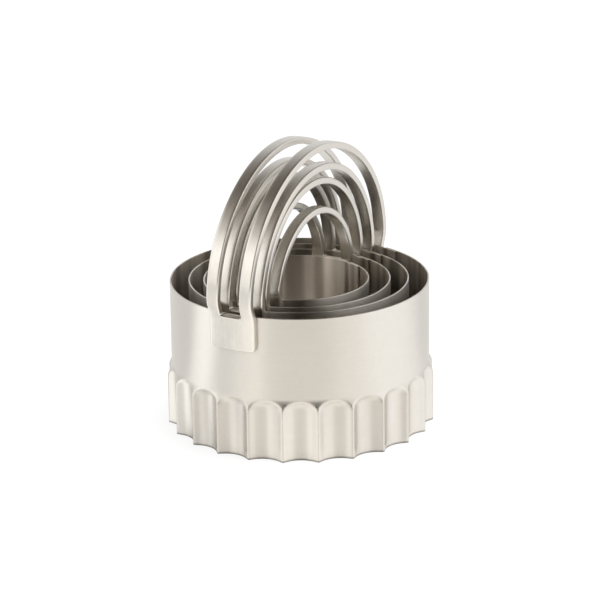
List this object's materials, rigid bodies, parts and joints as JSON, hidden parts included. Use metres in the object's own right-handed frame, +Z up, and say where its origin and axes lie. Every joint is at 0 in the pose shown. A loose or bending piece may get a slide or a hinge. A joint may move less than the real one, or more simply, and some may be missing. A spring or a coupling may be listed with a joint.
{
  "type": "biscuit cutter",
  "caption": "Nest of round biscuit cutters with a rippled cutting edge and slotted strap handles that arch over one another.",
  "frame": {"origin": "on the table under the centre of the nest", "axes": "+Z up along the axis of the rings, the arches of the handles run along X, the largest handle's foot that faces the viewer in the picture is at -X"},
  "size_m": [0.0866, 0.0822, 0.088],
  "materials": {
    "ring_steel": "satin",
    "handle_steel": "satin"
  },
  "bodies": {
    "smallest_cutter": {"smallest_ring": "ring_steel", "smallest_handle": "handle_steel"},
    "third_cutter": {"third_ring": "ring_steel", "third_handle": "handle_steel"},
    "second_cutter": {"second_ring": "ring_steel", "second_handle": "handle_steel"},
    "largest_cutter": {"largest_ring": "ring_steel", "largest_handle": "handle_steel"}
  },
  "joints": [
    {"name": "third_lift", "type": "slide", "parent": "smallest_cutter", "child": "third_cutter", "axis": [0, 0, 1], "range_m": [0, 0.07]},
    {"name": "second_lift", "type": "slide", "parent": "third_cutter", "child": "second_cutter", "axis": [0, 0, 1], "range_m": [0, 0.08]},
    {"name": "largest_lift", "type": "slide", "parent": "second_cutter", "child": "largest_cutter", "axis": [0, 0, 1], "range_m": [0, 0.085]}
  ]
}
